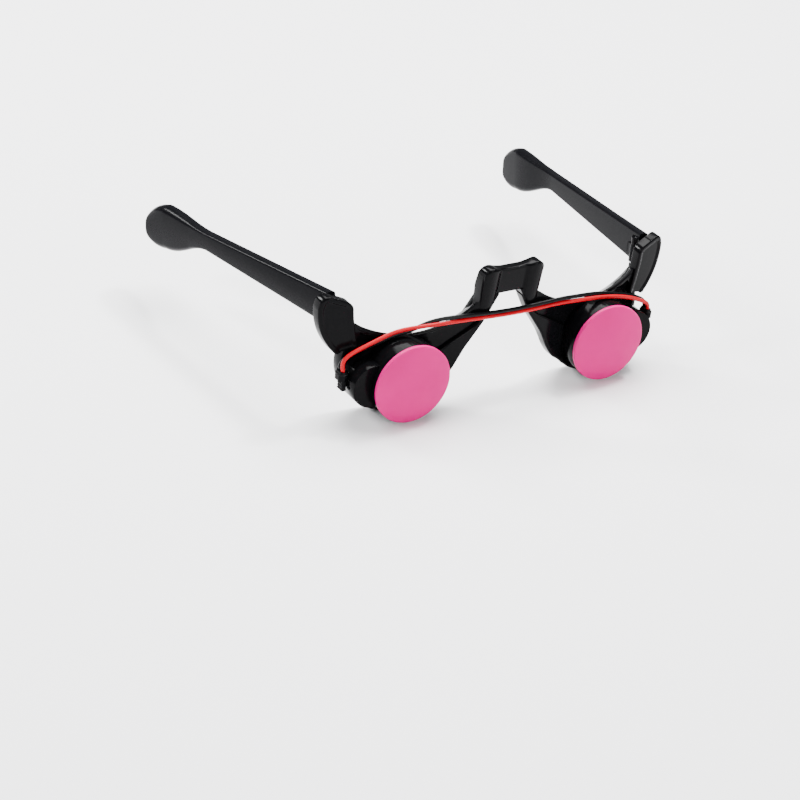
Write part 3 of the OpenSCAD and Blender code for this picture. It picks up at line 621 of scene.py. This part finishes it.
# Hinge and lamp screws
# Small screws of plated steel with slotted heads, turned and then rolled. Two hold the arms in the
# hinges, and four behind each rim hold its lamp.

screw_steel = moulded("screw_steel", (0.55, 0.55, 0.57), dust=0.05, polish=0.3,
                      polish_spread=0.1, grain_size=4000.0, grain_depth=0.06, metallic=1.0)
for node in ("hinge_screws", "lamp_screws"):
    dress(node, screw_steel)

# Lamp housings
# A cup of black plastic with a closed back for each lamp, and a lobe at its side for the wires.
# Each is moulded in one piece and screwed to its rim from behind.

housing_black = moulded("housing_black", (0.002, 0.002, 0.0024), dust=0.003, polish=0.15,
                        polish_spread=0.04, grain_size=2200.0, grain_depth=0.03,
                        mirror_level=0.03)
for side, _ in both_sides:
    dress(f"lamp_housing_{side}", housing_black, 0.25)

# Discs
# Glossy pink diffuser caps, moulded with a shallow dome and a rounded edge. A hollow skirt behind
# each one is pressed into the mouth of the barrel.

disc_pink = moulded("disc_pink", (0.52, 0.0, 0.15), dust=0.0, polish=0.12,
                    polish_spread=0.03, grain_size=900.0, grain_depth=0.01, mirror_level=0.05)
shader = disc_pink.node_tree.nodes["Principled BSDF"]
shader.inputs["Subsurface Weight"].default_value = 0.15
shader.inputs["Subsurface Radius"].default_value = (1.0, 0.3, 0.5)
shader.inputs["Subsurface Scale"].default_value = 0.002

disc_x, disc_r, disc_edge, dome_bulge, edge_turn, hub_r = 39.0, 14.0, 0.75, 1.7, 0.4, 0.3
skirt_r, skirt_back, skirt_wall, skirt_chamfer = 11.8, -2.55, 1.1, 0.2


def disc_profile():
    """Half section (r, z), z forwards: edge + bulge - R + sqrt(R^2 - r^2), then a round edge."""
    sphere = (disc_r**2 + dome_bulge**2) / (2 * dome_bulge)
    r = np.linspace(hub_r, disc_r - edge_turn, 40)
    dome = np.column_stack([r, disc_edge + dome_bulge - sphere + np.sqrt(sphere**2 - r**2)])
    lean = np.arcsin(r[-1] / sphere)
    a = np.linspace(lean, np.pi / 2, 10)
    centre = dome[-1] - edge_turn * np.array([np.sin(lean), np.cos(lean)])
    front = centre + edge_turn * np.column_stack([np.sin(a), np.cos(a)])
    front[:, 0] += (disc_r - centre[0] - edge_turn) * (a - lean) / (np.pi / 2 - lean)
    b = np.linspace(0, np.pi / 2, 8)
    back = np.column_stack([disc_r - edge_turn + edge_turn * np.cos(b),
                            -disc_edge + edge_turn - edge_turn * np.sin(b)])
    skirt = [[skirt_r, -disc_edge], [skirt_r, skirt_back + skirt_chamfer],
             [skirt_r - skirt_chamfer, skirt_back], [skirt_r - skirt_wall, skirt_back],
             [skirt_r - skirt_wall, 0.0], [hub_r, 0.0]]
    return np.vstack([dome, front[1:], back, skirt])


def revolved(name, profile, centre, sides=144):
    """A profile (r, z) turned about the line through centre that runs forwards along z."""
    turn = -np.arange(sides) * 2 * np.pi / sides
    r, z = profile[:, :1], profile[:, 1:]
    rings = np.stack([r * np.cos(turn), -z + 0 * turn, r * np.sin(turn)], axis=-1)
    return closed_tube(name, home + mm * (rings + np.array(centre)))


for side, sign in both_sides:
    disc = revolved(f"diffuser_{side}", disc_profile(), (sign * disc_x, 0.0, 0.0))
    disc.data.materials.append(disc_pink)
    disc.data.set_sharp_from_angle(angle=np.radians(40))
    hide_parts(f"disc_{side}")
    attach(disc, "front")

# Lamp inner parts
# Each cup is filled from the front: a nickel-plated coin cell between sprung brass contacts in a
# grey plastic tray, a coated circuit board with a clear diode, and a white plastic reflector.

lamp_parts = {
    "reflector": moulded("reflector_white", (0.85, 0.85, 0.84), dust=0.0, polish=0.35,
                         polish_spread=0.05, grain_size=1500.0, grain_depth=0.03),
    "led_board": moulded("board_white", (0.78, 0.8, 0.78), dust=0.02, polish=0.5,
                         polish_spread=0.05, grain_size=3000.0, grain_depth=0.05),
    "led": moulded("diode_clear", (0.93, 0.83, 0.86), dust=0.0, polish=0.1,
                   polish_spread=0.03, grain_size=1500.0, grain_depth=0.01),
    "cell_tray": moulded("tray_grey", (0.09, 0.09, 0.1), dust=0.02, polish=0.5,
                         polish_spread=0.05, grain_size=2500.0, grain_depth=0.06),
    "coin_cell": moulded("cell_steel", (0.6, 0.6, 0.62), dust=0.02, polish=0.3,
                         polish_spread=0.08, grain_size=4000.0, grain_depth=0.05, metallic=1.0),
    "cell_contacts": moulded("contact_brass", (0.75, 0.58, 0.25), dust=0.02, polish=0.3,
                             polish_spread=0.08, grain_size=4000.0, grain_depth=0.05,
                             metallic=1.0),
}
for part, material in lamp_parts.items():
    for side, _ in both_sides:
        dress(f"{part}_{side}", material)

# Slide switch
# A small bought-in slide switch with a dark plastic body, clipped into the wearer's right lobe.
# A ribbed thumb piece of black plastic works it from outside.

switch_grey = moulded("switch_grey", (0.1, 0.1, 0.11), dust=0.03, polish=0.5,
                      polish_spread=0.05, grain_size=3000.0, grain_depth=0.08)
knob_black = moulded("knob_black", (0.004, 0.004, 0.0045), dust=0.005, polish=0.4,
                     polish_spread=0.06, grain_size=3000.0, grain_depth=0.08, mirror_level=0.06)
dress("switch_body", switch_grey)
dress("switch_knob", knob_black)

# Wire glands
# Bushes of matte black rubber on the lobes, where the two wires go in. Each is moulded with a
# flange and a tapered neck, and is pressed into its hole.

gland_rubber = moulded("gland_rubber", (0.003, 0.003, 0.0035), dust=0.003, polish=0.4,
                       polish_spread=0.05, grain_size=3000.0, grain_depth=0.08,
                       mirror_level=0.05)
gland_stack = [(1.55, 3.8), (1.6, 3.9), (1.6, 4.1), (1.5, 4.2), (1.3, 4.25), (1.2, 4.85),
               (1.1, 4.98), (0.9, 5.0)]
gland_y, gland_half = sum(gland_rows) / 2, (gland_rows[1] - gland_rows[0]) / 2


def gland_rings(sides=36):
    """Stadium outlines stacked along Z: two half circles of radius r, 2 * half apart along Y."""
    turn = (np.arange(sides) + 0.5) * 2 * np.pi / sides
    apart = gland_half * np.sign(np.sin(turn))
    return np.stack([np.column_stack([r * np.cos(turn), r * np.sin(turn) + apart, 0 * turn + z])
                     for r, z in gland_stack])


for side, sign in both_sides:
    rings = gland_rings() + [sign * gland_x, gland_y, 0]
    gland = closed_tube(f"cable_bush_{side}", home + mm * rings)
    gland.data.materials.append(gland_rubber)
    gland.data.set_sharp_from_angle(angle=np.radians(40))
    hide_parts(f"wire_gland_{side}")
    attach(gland, "front")
